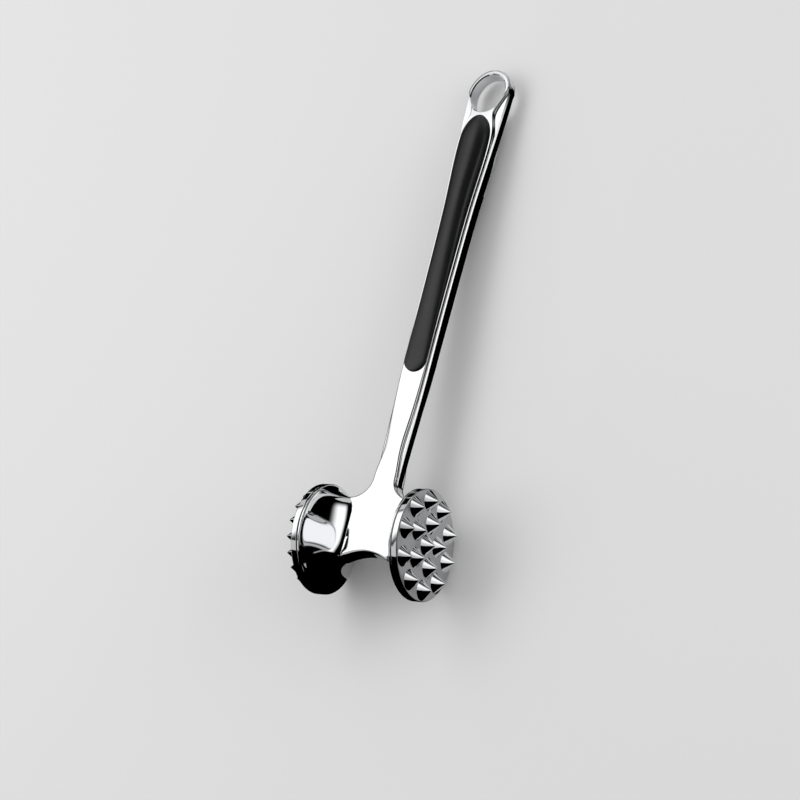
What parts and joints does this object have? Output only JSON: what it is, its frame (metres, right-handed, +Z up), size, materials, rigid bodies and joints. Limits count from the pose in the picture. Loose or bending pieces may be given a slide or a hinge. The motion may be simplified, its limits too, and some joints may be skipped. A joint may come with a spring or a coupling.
{
  "type": "meat mallet",
  "caption": "Two-sided meat mallet: waisted cast body with coarse and fine studded striking plates, tapering handle with inlaid soft grips and a hanging eye.",
  "frame": {"origin": "middle of the lying mallet's outline seen from above, on the surface that it lies on", "axes": "+X along the head from the fine plate to the coarse plate, +Y along the handle towards the hanging eye, +Z up, out of the mallet's front"},
  "size_m": [0.0642, 0.2708, 0.05],
  "materials": {
    "casting": "mirror polished, bright plated",
    "plates": "polished studs on a satin face",
    "grips": "matte, moulded"
  },
  "bodies": {
    "root": {"body_casting": "casting", "coarse_striking_plate": "plates", "fine_striking_plate": "plates", "front_grip": "grips", "back_grip": "grips"}
  },
  "joints": []
}
